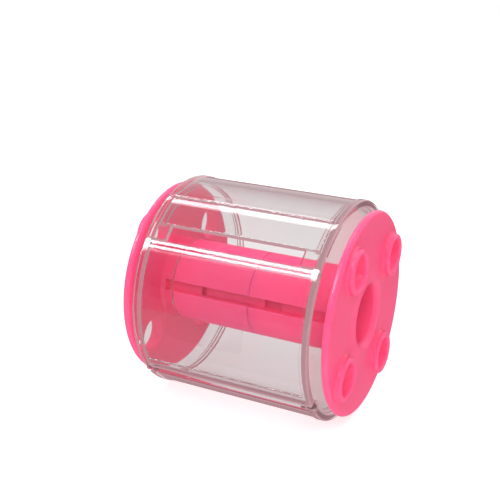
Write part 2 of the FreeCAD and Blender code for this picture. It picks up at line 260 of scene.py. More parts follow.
def drawn(sections, stations):
    """Grid of cross-sections, one for each station along X."""
    sections = np.asarray(sections)
    along = np.broadcast_to(np.asarray(stations)[:, None], sections.shape[:2])
    return np.concatenate([along[..., None], sections], axis=-1)


def held(start, end, steps=2):
    """Even places from start to end, with one more place just inside each end."""
    even = np.linspace(start, end, steps)
    margin = math.copysign(HOLD, end - start)
    return np.concatenate([even[:1], [start + margin], even[1:-1], [end - margin], even[-1:]])


def rounded_end(outer, rounding, steps=7):
    """Stations and insets of a quarter round at an end: from the full section to the end face.

    Station = outer end - rounding * (1 - sine), inset = rounding * (1 - cosine), over a quarter turn.
    """
    phase = np.linspace(0.0, math.pi / 2.0, steps)
    return outer - rounding * (1.0 - np.sin(phase)), rounding * (1.0 - np.cos(phase))


class Skin:
    """Grids of points that are welded into one closed surface."""

    def __init__(self):
        self.points = []
        self.faces = []
        self.count = 0

    def grid(self, points, wrap_rows=False, wrap_columns=False):
        """Add a grid of (x, y, z) points as quads; a wrapped direction closes on itself."""
        rows, columns = points.shape[:2]
        index = np.arange(rows * columns).reshape(rows, columns) + self.count
        if wrap_rows:
            index = np.concatenate([index, index[:1]], axis=0)
        if wrap_columns:
            index = np.concatenate([index, index[:, :1]], axis=1)
        quads = np.stack([index[:-1, :-1], index[1:, :-1], index[1:, 1:], index[:-1, 1:]], axis=-1)
        self.points.append(points.reshape(-1, 3))
        self.faces.append(quads.reshape(-1, 4))
        self.count += rows * columns

    def bar(self, points):
        """Add a closed bar, a grid of its sections; at each end every point is joined to the one across."""
        self.grid(points, wrap_columns=True)
        half = points.shape[1] // 2
        for loop in (points[0], points[-1]):
            self.grid(np.stack([loop[:half], loop[half:][::-1]], axis=0))

    def mirrored(self):
        """The same surface at the other end, with X turned to minus X."""
        other = Skin()
        other.points = [points * (-1.0, 1.0, 1.0) for points in self.points]
        other.faces = list(self.faces)
        other.count = self.count
        return other

    def piece(self, name):
        """A new object with the welded surface, lifted onto the reel's axis, its normals outwards."""
        points = np.concatenate(self.points) + (0.0, 0.0, AXIS_HEIGHT)
        mesh = bpy.data.meshes.new(name)
        mesh.from_pydata(points.tolist(), [], np.concatenate(self.faces).tolist())
        welded = bmesh.new()
        welded.from_mesh(mesh)
        bmesh.ops.remove_doubles(welded, verts=welded.verts, dist=WELD)
        bmesh.ops.dissolve_degenerate(welded, edges=welded.edges, dist=WELD)
        bmesh.ops.recalc_face_normals(welded, faces=welded.faces)
        welded.to_mesh(mesh)
        welded.free()
        made = bpy.data.objects.new(name, mesh)
        bpy.context.scene.collection.objects.link(made)
        return made


def combined(piece, others, operation):
    """Join closed surfaces to a piece, or cut them from it, and keep the result as plain mesh."""
    for other in others:
        modifier = piece.modifiers.new("combined", "BOOLEAN")
        modifier.operation = operation
        modifier.solver = "EXACT"
        modifier.object = other
    bpy.context.view_layer.update()
    graph = bpy.context.evaluated_depsgraph_get()
    mesh = bpy.data.meshes.new_from_object(piece.evaluated_get(graph))
    piece.modifiers.clear()
    piece.data = mesh
    for other in others:
        bpy.data.objects.remove(other)


def finish_piece(piece, node, body, material, sharp=32.0):
    """Smooth a piece except at sharp edges, give it its material, and let it stand for a CAD node."""
    mesh = piece.data
    edges = bmesh.new()
    edges.from_mesh(mesh)
    gaps = sum(1 for edge in edges.edges if len(edge.link_faces) != 2)
    edges.free()
    if gaps:
        raise RuntimeError("%s has %d edges that aren't closed" % (piece.name, gaps))
    mesh.shade_smooth()
    mesh.set_sharp_from_angle(angle=math.radians(sharp))
    mesh.materials.clear()
    mesh.materials.append(material)
    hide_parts(node)
    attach(piece, body)


# ---- materials ----

def add_node(tree, kind, inputs=(), **settings):
    """Add a shader node, set its properties, set or link its inputs; a node stands for its first output."""
    made = tree.nodes.new("ShaderNode" + kind)
    for name, value in settings.items():
        setattr(made, name, value)
    for socket, value in dict(inputs).items():
        if isinstance(value, bpy.types.Node):
            value = value.outputs[0]
        if isinstance(value, bpy.types.NodeSocket):
            tree.links.new(value, made.inputs[socket])
        else:
            made.inputs[socket].default_value = value
    return made


def new_material(name):
    """An empty node material, and the function that adds nodes to it."""
    material = bpy.data.materials.new(name)
    material.use_nodes = True
    material.node_tree.nodes.clear()
    return material, partial(add_node, material.node_tree)


def grained(add, place, size, detail, roughness, strength, depth):
    """A pattern of a real size, drawn by noise, and the roughness and relief that follow it."""
    grain = add("TexNoise", {"Vector": place, "Scale": 1.0 / size, "Detail": detail})
    gloss = add("MapRange", {"Value": grain, "To Min": roughness[0], "To Max": roughness[1]})
    relief = add("Bump", {"Height": grain, "Strength": strength, "Distance": depth})
    return gloss, relief


def moulded_pink_styrene(finish):
    """Injection-moulded pink high-impact polystyrene, the reel's material.

    A satin gloss with a soft glow, a slow change of tone where the melt flowed, and fine mould grain.
    """
    material, add = new_material("moulded_pink_styrene")
    flow_size, grain_size = 14.0 * MM, 0.9 * MM      # grain drawn coarser than life, so that it shows
    place = add("TexCoord").outputs["Object"]
    flow = add("TexNoise", {"Vector": place, "Scale": 1.0 / flow_size, "Detail": 2.0})
    tone = add("Mix", {0: flow, 6: finish.pink, 7: finish.pink_pale}, data_type="RGBA")
    gloss, relief = grained(add, place, grain_size, 3.0, (0.28, 0.4), 0.1, 0.01 * MM)
    surface = add("BsdfPrincipled", {
        "Base Color": tone.outputs[2], "Roughness": gloss, "IOR": 1.55, "Normal": relief,
        "Subsurface Weight": 0.6, "Subsurface Radius": (1.0, 0.45, 0.55), "Subsurface Scale": 6.0 * MM})
    add("OutputMaterial", {"Surface": surface})
    return material


def clear_plastic(name, finish, tint, ior, roughness, ripple_size, ripple_depth, density=0.0):
    """Clear plastic that light and shadow pass: refracting, with a slow ripple from moulding or pressing.

    Where a ray has made more than one glossy bounce or many steps in it, as in its rims and beads, it shows
    a painted glow: an even pale emission in place of the light thrown to and fro.
    """
    material, add = new_material(name)
    most_throws, most_steps, painted_glow_strength = 1.5, 9.5, 0.8       # halves, so that they lie between two counts
    place = add("TexCoord").outputs["Object"]
    gloss, relief = grained(add, place, ripple_size, 1.5, roughness, 0.25, ripple_depth)
    glass = add("BsdfPrincipled", {
        "Base Color": tint, "Roughness": gloss, "IOR": ior, "Normal": relief, "Transmission Weight": 1.0})
    passing = add("BsdfTransparent", {"Color": tint})
    ray = add("LightPath").outputs
    light = add("Math", {0: ray["Is Shadow Ray"], 1: ray["Is Diffuse Ray"]}, operation="MAXIMUM")
    plastic = add("MixShader", {0: light, 1: glass, 2: passing})
    thrown = add("Math", {0: ray["Glossy Depth"], 1: most_throws}, operation="GREATER_THAN")
    spent = add("Math", {0: ray["Ray Depth"], 1: most_steps}, operation="GREATER_THAN")
    painted_glow_mask = add("Math", {0: thrown, 1: spent}, operation="MAXIMUM")
    # painted glow: the plastic emits an even warm tone where rays have bounced to and fro, in place of
    # tracing that light
    even = add("Emission", {"Color": finish.reflected, "Strength": painted_glow_strength})
    surface = add("MixShader", {0: painted_glow_mask, 1: plastic, 2: even})
    shaders = {"Surface": surface}
    if density:
        shaders["Volume"] = add("VolumeAbsorption", {"Color": finish.depth, "Density": density})
    add("OutputMaterial", shaders)
    return material


def moulded_clear_styrene(finish):
    """Injection-moulded crystal polystyrene, the case's material.

    Hard and glossy with bright edges, partly a painted glow in its rims and beads, faint flow ripples, and
    greyer the more of it is looked through.
    """
    return clear_plastic("moulded_clear_styrene", finish, finish.clear, 1.57, (0.01, 0.05),
                         9.0 * MM, 0.03 * MM, density=55.0)


def pressed_clear_film(finish):
    """Self-adhesive polyester film: pressed on the moulding it shows little but its gloss and its edges.

    Its refractive index is the one against the plastic it lies on.
    """
    return clear_plastic("pressed_clear_film", finish, finish.film, 1.04, (0.0, 0.004),
                         5.0 * MM, 0.001 * MM)


def drawn_steel(finish):
    """Drawn spring-steel wire of the hinge pins: grey metal with fine lines along the wire."""
    material, add = new_material("drawn_steel")
    line_spacing, line_length = 0.25 * MM, 6.0 * MM
    place = add("TexCoord").outputs["Object"]
    stretched = add("Mapping", {
        "Vector": place, "Scale": (1.0 / line_length, 1.0 / line_spacing, 1.0 / line_spacing)})
    gloss, relief = grained(add, stretched, 1.0, 2.0, (0.22, 0.42), 0.2, 0.01 * MM)
    metal = add("BsdfPrincipled", {
        "Base Color": finish.steel, "Metallic": 1.0, "Roughness": gloss, "Normal": relief})
    add("OutputMaterial", {"Surface": metal})
    return material


def white_paper_floor(finish, studio):
    """Matt white paper: it takes the object's shadow, and glows a little where it is looked at.

    Through clear plastic, to matt surfaces and in the plastic's edges it shows mostly an even light.
    """
    material, add = new_material("white_paper_floor")
    tooth_size, through_share, bounce_share = 1.5 * MM, 0.75, 0.8
    place = add("TexCoord").outputs["Object"]
    tooth = add("TexNoise", {"Vector": place, "Scale": 1.0 / tooth_size})
    relief = add("Bump", {"Height": tooth, "Strength": 0.05, "Distance": 0.02 * MM})
    paper = add("BsdfDiffuse", {"Color": finish.floor, "Normal": relief})
    ray = add("LightPath").outputs
    glow = add("Math", {0: ray["Is Camera Ray"], 1: studio.floor_glow}, operation="MULTIPLY")
    light = add("Emission", {"Color": WHITE, "Strength": glow})
    surface = add("AddShader", {0: paper, 1: light})
    straight, thrown = (add("Math", {0: ray["Glossy Depth"], 1: 0.5}, operation=compare)
                        for compare in ("LESS_THAN", "GREATER_THAN"))
    through = add("Math", {0: ray["Is Transmission Ray"], 1: straight}, operation="MULTIPLY")
    for kind, share, strength, tone in ((through, through_share, studio.floor_through, WHITE),
                                        (ray["Is Diffuse Ray"], bounce_share, studio.floor_bounce, WHITE),
                                        (thrown, 1.0, studio.edges, finish.reflected)):
        part = add("Math", {0: kind, 1: share}, operation="MULTIPLY")
        even = add("Emission", {"Color": tone, "Strength": strength})
        surface = add("MixShader", {0: part, 1: surface, 2: even})
    add("OutputMaterial", {"Surface": surface})
    return material


def material_of(make, *settings):
    """The material that a function makes and names like itself, made the first time it is asked for."""
    return bpy.data.materials.get(make.__name__) or make(*settings)


# ---- back shell ----

def shell_section(case, inset):
    """Closed loop round the shell's wall, moved inwards by an inset.

    The outer side is an arc from the lip over the top and the back to the hinge, raised at the ridge
    and clipped by the flats; the inner side is the arc of the bore; both ends are rounded.
    """
    outer, inner = SHELL_R - inset, SHELL_R - case.wall + inset
    soft = case.edge - inset
    lip = case.lip_angle - degrees_of(inset, SHELL_R)
    end = case.shell_end - FULL_TURN + degrees_of(inset, SHELL_R)
    lip_soft, end_soft = lip - degrees_of(soft, outer), end + degrees_of(soft, outer)
    half = degrees_of(case.ridge_width / 2.0 - inset, SHELL_R)
    top, shoulder = outer + case.ridge_height, case.ridge_edge - inset
    left, right = case.ridge_angle + half, case.ridge_angle - half
    top_soft = degrees_of(shoulder, top)
    steps_front, steps_back = 16, 150
    outside = [
        arc(around(outer - soft, lip_soft), soft, lip + 90.0, lip, 6),
        around(outer, np.linspace(lip_soft, left, steps_front + 2)[1:]),
        arc(around(top - shoulder, left - top_soft), shoulder, left + 90.0, left, 8),
        around(top, np.linspace(left - top_soft, right + top_soft, 6)[1:-1]),
        arc(around(top - shoulder, right + top_soft), shoulder, right, right - 90.0, 8),
        around(outer, np.linspace(right, end_soft, steps_back + 2)[:-1]),
        arc(around(outer - soft, end_soft), soft, end, end - 90.0, 6),
    ]
    inside = [
        arc(around(inner + soft, lip_soft), soft, lip + 90.0, lip + 180.0, 6),
        around(inner, np.linspace(lip_soft, left, steps_front + 2)[1:]),
        around(inner, np.linspace(left, right, 18)[1:-1]),
        around(inner, np.linspace(right, end_soft, steps_back + 2)[:-1]),
        arc(around(inner + soft, end_soft), soft, end + 180.0, end + 270.0, 6),
    ]
    loop = np.concatenate(outside + [np.concatenate(inside)[::-1]])
    loop[:, 1] = np.maximum(loop[:, 1], -AXIS_HEIGHT)
    return loop


def both_ends(stations, insets):
    """Stations and insets of one end, repeated at the other end, with held rows between."""
    stations, insets = np.asarray(stations), np.asarray(insets)
    inner = stations[0] - HOLD
    along = np.concatenate([-stations[::-1], [-inner, inner], stations])
    return along, np.concatenate([insets[::-1], [0.0, 0.0], insets])


class WINDER_OT_back_shell(bpy.types.Operator):
    """Build the clear shell: its section drawn along the axis, with rounded ends"""

    bl_idname = "winder.back_shell"
    bl_label = "Back shell"

    def execute(self, context):
        case, finish = context.scene.winder_case, context.scene.winder_finish
        end_rounding = 0.8 * case.edge
        along, insets = both_ends(*rounded_end(SHELL_HALF_LENGTH - case.joint_gap, end_rounding))
        skin = Skin()
        skin.bar(drawn([shell_section(case, inset) for inset in insets], along))
        finish_piece(skin.piece("shell_wall"), "back_shell", "case",
                     material_of(moulded_clear_styrene, finish))
        return {"FINISHED"}


# ---- end caps ----

def bead_places(case):
    """Radius at which both beads' middles lie, the angles of the two middles, and half a bead's angle."""
    path = SHELL_R + case.bead_rise - case.bead
    step = degrees_of(case.bead_spacing, path) / 2.0
    return path, case.bead_angle - step, case.bead_angle + step, degrees_of(case.bead, path)


def cap_profile(case):
    """Outline of the right cap, in (x, radius), with all its features: web, lap, tab and rim.

    Returns the outline and the names of the features that its points belong to.
    """
    inner_x, end = SHELL_HALF_LENGTH, CASE_HALF_LENGTH
    web_x = inner_x + case.web
    bore = SHELL_R - case.wall
    web_r = bore - case.web_gap
    lap_out = bore - case.lap_gap
    lap_in = lap_out - case.lap
    edge, soft = case.edge, case.rim_edge
    lap_x, tab_x = ([inner_x, inner_x - reach + HOLD, inner_x - reach]
                    for reach in (case.lap_length, case.tab_length))
    parts = [
        ("web", [(inner_x, r) for r in held(case.web_bore, lap_in, 4)]),
        ("lap", [(x, lap_in) for x in lap_x] + [(x, lap_out) for x in lap_x[::-1]]),
        ("tab", [(x, bore) for x in tab_x] + [(x, SHELL_R) for x in tab_x[::-1]]),
        ("rim", corner((inner_x + edge, CASE_R - edge), edge, -90.0, 0.0, 5)),
        ("rim", [(end - soft - HOLD, CASE_R)]),
        ("rim", corner((end - soft, CASE_R - soft), soft, 0.0, 90.0, 8)),
        ("rim", corner((end - soft, bore + soft), soft, 90.0, 180.0, 8)),
        ("rim", [(web_x, bore)]),
        ("web", [(web_x, web_r)]),
        ("web", [(web_x, r) for r in held(web_r, case.web_bore, 4)]),
    ]
    outline = np.concatenate([np.asarray(points, float) for _, points in parts])
    names = np.concatenate([[name] * len(points) for name, points in parts])
    return outline, names


def cap_grid(case):
    """Outline of the right cap at every angle round the axis, with each feature only where it is.

    Where a feature ends, two sections stand at one angle, and the quads between them are its end face.
    In front the rim's points lie along the web's edge.
    """
    outline, names = cap_profile(case)
    inner_x, web_x = SHELL_HALF_LENGTH, SHELL_HALF_LENGTH + case.web
    web_r = SHELL_R - case.wall - case.web_gap
    section_every = 2.0
    half = degrees_of(case.ridge_width / 2.0, SHELL_R)
    _, first_bead, _, bead_half = bead_places(case)
    tab_end = first_bead - bead_half - degrees_of(case.latch_gap, SHELL_R)
    stops = [case.lip_angle, tab_end, case.shell_end, case.shell_end + case.lap_hinge_gap,
             FULL_TURN + case.ridge_angle - half, FULL_TURN + case.ridge_angle + half,
             FULL_TURN + case.lip_angle]
    shown = [{"rim", "tab"}, set(), {"rim"}, {"rim", "lap"}, {"rim", "lap", "ridge"}, {"rim", "lap"}]
    grids = []
    for start, end, features in zip(stops[:-1], stops[1:], shown):
        x, r = outline[:, 0].copy(), outline[:, 1].copy()
        for feature in {"lap", "tab"} - features:
            x[names == feature] = inner_x
        rim = names == "rim"
        if "rim" not in features:
            r = np.minimum(r, web_r)
            x[rim] = np.linspace(inner_x, web_x, rim.sum())
        if "ridge" in features:
            crest = rim & (r > CASE_R - case.edge / 2.0) & (x < CASE_HALF_LENGTH - case.rim_edge + HOLD)
            r[crest] += SHELL_R + case.ridge_height - CASE_R
        angles = np.linspace(start, end, max(3, int((end - start) / section_every) + 2))
        grids.append(turned(np.stack([x, r], axis=-1), angles))
    grid = np.concatenate(grids)
    grid[..., 2] = np.maximum(grid[..., 2], -AXIS_HEIGHT)
    return grid


def pin_outline(radius, start, end, rounding, steps=5):
    """Outline of a round-edged cylinder in (x, radius), from pole to pole."""
    return np.concatenate([
        [(start, 0.0)],
        corner((start + rounding, radius - rounding), rounding, -90.0, 0.0, steps),
        corner((end - rounding, radius - rounding), rounding, 0.0, 90.0, steps),
        [(end, 0.0)],
    ])


class WINDER_OT_end_caps(bpy.types.Operator):
    """Build both end caps: web, rim, lip, latch tab and hinge lug, turned about the axis"""

    bl_idname = "winder.end_caps"
    bl_label = "End caps"

    def execute(self, context):
        case, finish = context.scene.winder_case, context.scene.winder_finish
        material = material_of(moulded_clear_styrene, finish)
        angles = np.linspace(0.0, FULL_TURN, 49)[:-1]
        right, lug = Skin(), Skin()
        right.grid(cap_grid(case), wrap_rows=True, wrap_columns=True)
        outline = pin_outline(case.barrel, SHELL_HALF_LENGTH, CASE_HALF_LENGTH, case.edge)
        lug.grid(turned(outline, angles, HINGE), wrap_rows=True)
        for side, cap_skin, lug_skin in (("right", right, lug), ("left", right.mirrored(), lug.mirrored())):
            piece = cap_skin.piece("%s_rim_cap" % side)
            combined(piece, [lug_skin.piece("lug")], "UNION")
            finish_piece(piece, "%s_end_cap" % side, "case", material)
        return {"FINISHED"}


# ---- door ----

DOOR_POINTS = {"face": 4, "bead": 42, "next": 16, "wall": 64, "step": 5, "land": 9, "end": 13}


def panel_start(case):
    """Where the second bead runs into the panel: the angle on the bead's own arc, and on the case."""
    path, _, second, _ = bead_places(case)
    on_bead = math.degrees(math.acos((SHELL_R - path) / case.bead))
    return on_bead, second + degrees_of(case.bead * math.sin(math.radians(on_bead)), SHELL_R)


def door_lip(case, form, inner, outer, inset):
    """Outside of the door from the slit to its panel: the arcs of two flattened beads, or a plain rim."""
    path, first, second, bead_half = bead_places(case)
    on_bead, wall_start = panel_start(case)
    face, bead, after = DOOR_POINTS["face"], DOOR_POINTS["bead"], DOOR_POINTS["next"]
    if form == "rim":
        edge = first - bead_half + degrees_of(inset, SHELL_R)
        rise = bead // 2
        return [
            around(inner, np.linspace(case.bead_angle, edge, face + 1)[:-1]),
            around(np.linspace(inner, outer, rise), edge),
            around(outer, np.linspace(edge, case.bead_angle, bead - rise + 1)[1:]),
            around(outer, np.linspace(case.bead_angle, wall_start, after + 1)[1:]),
        ]
    meet = math.degrees(math.asin(min(1.0, case.bead_spacing / 2.0 / case.bead)))
    low = path - case.bead * math.cos(math.radians(meet))
    top = path + case.bead - case.bead_flat
    return [
        around(np.linspace(inner, low, face + 1)[:-1], case.bead_angle),
        eased(arc(around(path, first), case.bead, first + 180.0 - meet, first + 360.0 + meet, bead), top),
        eased(arc(around(path, second), case.bead, second - meet, second + on_bead, after + 1)[1:], top),
    ]


def door_foot(case, form, inner, outer, inset):
    """Foot of the door, outside and inside: the angle where the wall ends there, and the points after it.

    They are the two halves of the hinge barrel's arc, or else of a straight end before it.
    """
    hinge_r = float(np.hypot(*HINGE))
    if form == "barrel":
        crown = math.degrees(math.asin((outer - hinge_r) / case.barrel))
        sole = math.degrees(math.asin((hinge_r - inner) / case.barrel))
        start, end = HINGE_ANGLE - 90.0 + crown, HINGE_ANGLE + 270.0 - sole
        return [(HINGE_ANGLE - degrees_of(case.barrel * math.cos(math.radians(meet)), radius),
                 arc(HINGE, case.barrel, side, (start + end) / 2.0, DOOR_POINTS["end"]))
                for meet, radius, side in ((crown, outer, start), (sole, inner, end))]
    foot = HINGE_ANGLE - degrees_of(case.barrel + case.sweep_gap, hinge_r) - degrees_of(inset, SHELL_R)
    half_way = (inner + outer) / 2.0
    return [(foot, around(np.linspace(radius, half_way, DOOR_POINTS["end"]), foot))
            for radius in (outer, inner)]


def door_section(case, form, inset=0.0):
    """Closed loop round the door: from the slit along the outside to the foot, and back along the inside.

    form is "barrel" (beads, panel, land and hinge barrel), "panel" (the same without the barrel)
    or "rim" (a plain curved bar as high as the case's rims). All three have the same points in order,
    so that where the form changes the quads between two loops are a flat face.
    """
    inner, outer, soft, land = SHELL_R - case.wall + inset, CASE_R - inset, case.edge, case.land_angle
    step_end, land_start = land + 0.5, land + 1.0
    _, wall_start = panel_start(case)
    wall_angles = np.linspace(wall_start, land, DOOR_POINTS["wall"] + 1)[1:]
    (land_end, outside_end), (inner_end, inside_end) = door_foot(case, form, inner, outer, inset)
    if form == "rim":
        wall = around(outer, wall_angles)
        step = around(outer, np.linspace(land, step_end, DOOR_POINTS["step"]))
    else:
        wall = around(SHELL_R, wall_angles)
        step = arc(around(outer - soft, land + degrees_of(soft, outer)), soft, land - 90.0, land,
                   DOOR_POINTS["step"])
    outside = door_lip(case, form, inner, outer, inset) + [
        wall, step, around(outer, np.linspace(land_start, land_end, DOOR_POINTS["land"])), outside_end]
    lip_count = DOOR_POINTS["face"] + DOOR_POINTS["bead"] + DOOR_POINTS["next"]
    tail_count = DOOR_POINTS["step"] + DOOR_POINTS["land"]
    inside = [
        around(inner, np.linspace(case.bead_angle, wall_start, lip_count)),
        around(inner, wall_angles),
        around(inner, np.linspace(land, inner_end, tail_count + 1)[1:]),
        inside_end,
    ]
    return np.concatenate([np.concatenate(outside), np.concatenate(inside)[::-1]])


class WINDER_OT_front_door(bpy.types.Operator):
    """Build the hinged door: beads, panel, land and barrel between its two raised rims"""

    bl_idname = "winder.front_door"
    bl_label = "Front door"

    def execute(self, context):
        case, finish = context.scene.winder_case, context.scene.winder_finish
        barrel_x = SHELL_HALF_LENGTH - case.side_gap
        rim_x, rim_insets = rounded_end(CASE_HALF_LENGTH, case.rim_edge)
        barrel, panel, rim = (door_section(case, form) for form in ("barrel", "panel", "rim"))
        right = [(barrel_x - HOLD, barrel), (barrel_x, barrel), (barrel_x, panel),
                 (SHELL_HALF_LENGTH, panel), (SHELL_HALF_LENGTH, rim), (SHELL_HALF_LENGTH + HOLD, rim)]
        right += [(x, door_section(case, "rim", inset)) for x, inset in zip(rim_x, rim_insets)]
        stations = [(-x, section) for x, section in right[::-1]] + right
        skin = Skin()
        skin.bar(drawn([section for _, section in stations], [x for x, _ in stations]))
        finish_piece(skin.piece("door_panel"), "front_door", "door",
                     material_of(moulded_clear_styrene, finish))
        return {"FINISHED"}


class WINDER_OT_hinge_pins(bpy.types.Operator):
    """Build the two steel hinge pins, turned with rounded ends"""

    bl_idname = "winder.hinge_pins"
    bl_label = "Hinge pins"

    def execute(self, context):
        case, finish = context.scene.winder_case, context.scene.winder_finish
        angles = np.linspace(0.0, FULL_TURN, 33)[:-1]
        outline = pin_outline(case.pin, PIN_BOX[1].x - case.pin_length, PIN_BOX[1].x, case.pin / 3.0)
        skin = Skin()
        grid = turned(outline, angles, HINGE)
        skin.grid(grid, wrap_rows=True)
        skin.grid(grid * (-1.0, 1.0, 1.0), wrap_rows=True)
        finish_piece(skin.piece("pin_pair"), "door_hinge_pins", "case",
                     material_of(drawn_steel, finish))
        return {"FINISHED"}


# ---- label film ----

class WINDER_OT_label_film(bpy.types.Operator):
    """Build the bare film: a rounded rectangle bent round the door's panel"""

    bl_idname = "winder.label_film"
    bl_label = "Label film"

    def execute(self, context):
        """Rings of points shrink from the rounded outline to its middle, on the underside and on top."""
        finish = context.scene.winder_finish
        low, high = LABEL_BOX
        thickness, float_gap, corner_r = 0.18 * MM, 0.03 * MM, 4.0 * MM
        corner_points, side_points, rings, innermost = 14, 9, 14, 0.98
        upper, lower = (math.degrees(math.acos((place.z - AXIS_HEIGHT) / SHELL_R)) for place in (high, low))
        in_x = (high.x - low.x) / 2.0 - corner_r
        in_s = math.radians(lower - upper) / 2.0 * SHELL_R - corner_r
        quarters = enumerate([(in_x, in_s), (in_x, -in_s), (-in_x, -in_s), (-in_x, in_s)])
        outline = np.concatenate([
            corner(centre, corner_r, 90.0 * quarter, 90.0 * (quarter + 1), corner_points)
            for quarter, centre in quarters])
        to_next = np.roll(outline, -1, axis=0) - outline
        places = np.linspace(0.0, 1.0, side_points)[:-1, None]
        outline = (outline[:, None] + to_next[:, None] * places).reshape(-1, 2)
        shrink = np.concatenate([np.linspace(0.0, innermost, rings), [1.0]])
        scale = np.concatenate([shrink, shrink[::-1]])
        radius = SHELL_R + float_gap + np.repeat([0.0, thickness], len(shrink))
        flat = outline[None] * scale[:, None, None]
        angle = (upper + lower) / 2.0 + np.degrees(flat[..., 1] / SHELL_R)
        ring = around(radius[:, None], angle)
        grid = np.concatenate([((high.x + low.x) / 2.0 + flat[..., 0])[..., None], ring], axis=-1)
        skin = Skin()
        skin.grid(grid, wrap_columns=True)
        finish_piece(skin.piece("label_skin"), "label_film", "door",
                     material_of(pressed_clear_film, finish))
        return {"FINISHED"}


# ---- reel ----

def sector_border(count, near, far):
    """Border of one wheel sector in (radius, angle from its middle), point by point.

    It runs along the inner arc, out along one straight side, back along the outer arc and in again.
    """
    half = FULL_TURN / count / 2.0
    inner, outer, side = 34, 58, 10
    away = np.linspace(near, far, side + 1)[:-1]
    return np.concatenate([
        np.stack([np.full(inner, near), np.linspace(-half, half, inner + 1)[:-1]], axis=-1),
        np.stack([away, np.full(side, half)], axis=-1),
        np.stack([np.full(outer, far), np.linspace(half, -half, outer + 1)[:-1]], axis=-1),
        np.stack([away[::-1] + (far - near) / side, np.full(side, -half)], axis=-1),
    ]), inner, outer


def wheel_skin(reel):
    """Right wheel with its rings, and the hub's two open edges, all in matching points.

    Each flat face is cut into one sector for each ring; a sector's rows run straight from the ring's
    foot to the sector's border. A ring is its outline turned about its own axis, at the directions in
    which the border's points lie, so that every seam has the same points on both sides.
    """
    outer_x = RING_TOP_X - reel.ring_height
    inner_x = outer_x - reel.thickness
    edge = reel.thickness / 2.0
    far = REEL_R - edge
    foot, soft = reel.ring_foot, reel.hole_edge
    crown = (reel.ring - reel.ring_hole) / 2.0
    collar_r = reel.bore + reel.collar_width + reel.bore_lip
    back_near = reel.core + reel.foot
    front_border, inner_count, outer_count = sector_border(reel.rings, collar_r, far)
    back_border = sector_border(reel.rings, back_near, far)[0]
    ring_outline = np.concatenate([
        corner((outer_x + foot, reel.ring + foot), foot, -90.0, -180.0, 7),
        corner((RING_TOP_X - crown, reel.ring_hole + crown), crown, 0.0, 90.0, 9),
        corner((RING_TOP_X - crown, reel.ring_hole + crown), crown, 90.0, 180.0, 9)[1:],
        [(outer_x, reel.ring_hole)],
        corner((inner_x + soft, reel.ring_hole + soft), soft, 180.0, 270.0, 7),
    ])
    skin = Skin()
    rows = np.array([0.0, 0.02, 0.15, 0.35, 0.6, 0.85, 0.98, 1.0])[:, None, None]
    for place in range(reel.rings):
        middle = reel.ring_turn + place * FULL_TURN / reel.rings
        centre = around(reel.ring_place, middle)
        rim_front = around(front_border[:, 0], front_border[:, 1] + middle)
        rim_back = around(back_border[:, 0], back_border[:, 1] + middle)
        away = rim_front - centre
        directions = np.degrees(np.arctan2(-away[:, 0], away[:, 1]))
        for x, border, start in ((outer_x, rim_front, reel.ring + foot),
                                 (inner_x, rim_back, reel.ring_hole + soft)):
            near = centre + around(start, directions)
            face = near[None] + (border - near)[None] * rows
            skin.grid(drawn(face, np.full(len(rows), x)), wrap_columns=True)
        skin.grid(turned(ring_outline, directions, centre), wrap_rows=True)
    rim_angles, hub_angles = (
        reel.ring_turn - FULL_TURN / 2.0 / reel.rings
        + np.linspace(0.0, FULL_TURN, reel.rings * count + 1)[:-1] for count in (outer_count, inner_count))
    skin.grid(turned(corner((outer_x - edge, far), edge, 90.0, -90.0, 17), rim_angles), wrap_rows=True)
    return skin, hub_angles, collar_r, outer_x, inner_x


def hub_outline(reel, outer_x, inner_x, collar_r, inner_end):
    """Outline from the wheel's front down the bore, round the inner end, along the core and up its foot.

    The collar rises by the smooth step, 3 t squared - 2 t cubed.
    """
    top = outer_x + reel.collar_height
    lip, foot = reel.bore_lip, reel.foot
    rise = np.linspace(0.0, 1.0, 8)
    swell = np.stack([outer_x + reel.collar_height * (3.0 * rise ** 2 - 2.0 * rise ** 3),
                      collar_r - (collar_r - reel.bore - lip) * rise], axis=-1)
    return np.concatenate([
        swell,
        corner((top - lip, reel.bore + lip), lip, 90.0, 180.0, 10)[1:],
        inner_end,
        corner((inner_x - foot, reel.core + foot), foot, 180.0, 90.0, 9),
    ])


def slot_box(reel, turn_angle, steps, flared=True):
    """Closed cutter for a slot, with straight walls that can flare in a quarter round at the core's surface.

    steps holds the (station along X, radius of the floor) pairs from one end to the other.
    """
    half, soft = reel.slot_width / 2.0, reel.slot_edge if flared else 0.0
    above_core = 2.0 * MM
    level = math.sqrt(reel.core ** 2 - half ** 2)
    phase = np.linspace(0.0, math.pi / 2.0, 6)
    flare_t = half + soft * (1.0 - np.cos(phase))
    flare_s = level - soft + soft * np.sin(phase)
    side_t = np.concatenate([[half], flare_t, [half + soft]])
    across = np.concatenate([side_t, -side_t[::-1]])
    phase = math.radians(turn_angle)
    loops = []
    for _, floor in steps:
        side_s = np.concatenate([[floor], flare_s, [reel.core + above_core]])
        out = np.concatenate([side_s, side_s[::-1]])
        loops.append(np.stack([-out * math.sin(phase) - across * math.cos(phase),
                               out * math.cos(phase) - across * math.sin(phase)], axis=-1))
    skin = Skin()
    skin.bar(drawn(loops, [x for x, _ in steps]))
    return skin


def core_outline(reel, side):
    """Outline of a half's inner end, (x, radius), from the bore to the core: spigot or socket, and seam."""
    tip, bevel, socket = -SPIGOT_END_X, 0.4 * MM, reel.spigot + reel.socket_gap
    seam = [(0.0, reel.core - reel.seam), (reel.seam, reel.core), (reel.seam + HOLD, reel.core)]
    if side == "right":
        return [(HOLD, reel.bore), (tip + HOLD, reel.bore), (tip, reel.bore), (tip, reel.spigot - bevel),
                (tip + bevel, reel.spigot), (0.0, reel.spigot)] + seam
    return [(reel.socket_depth, reel.bore), (reel.socket_depth, socket), (bevel, socket),
            (0.0, socket + bevel / 2.0)] + seam


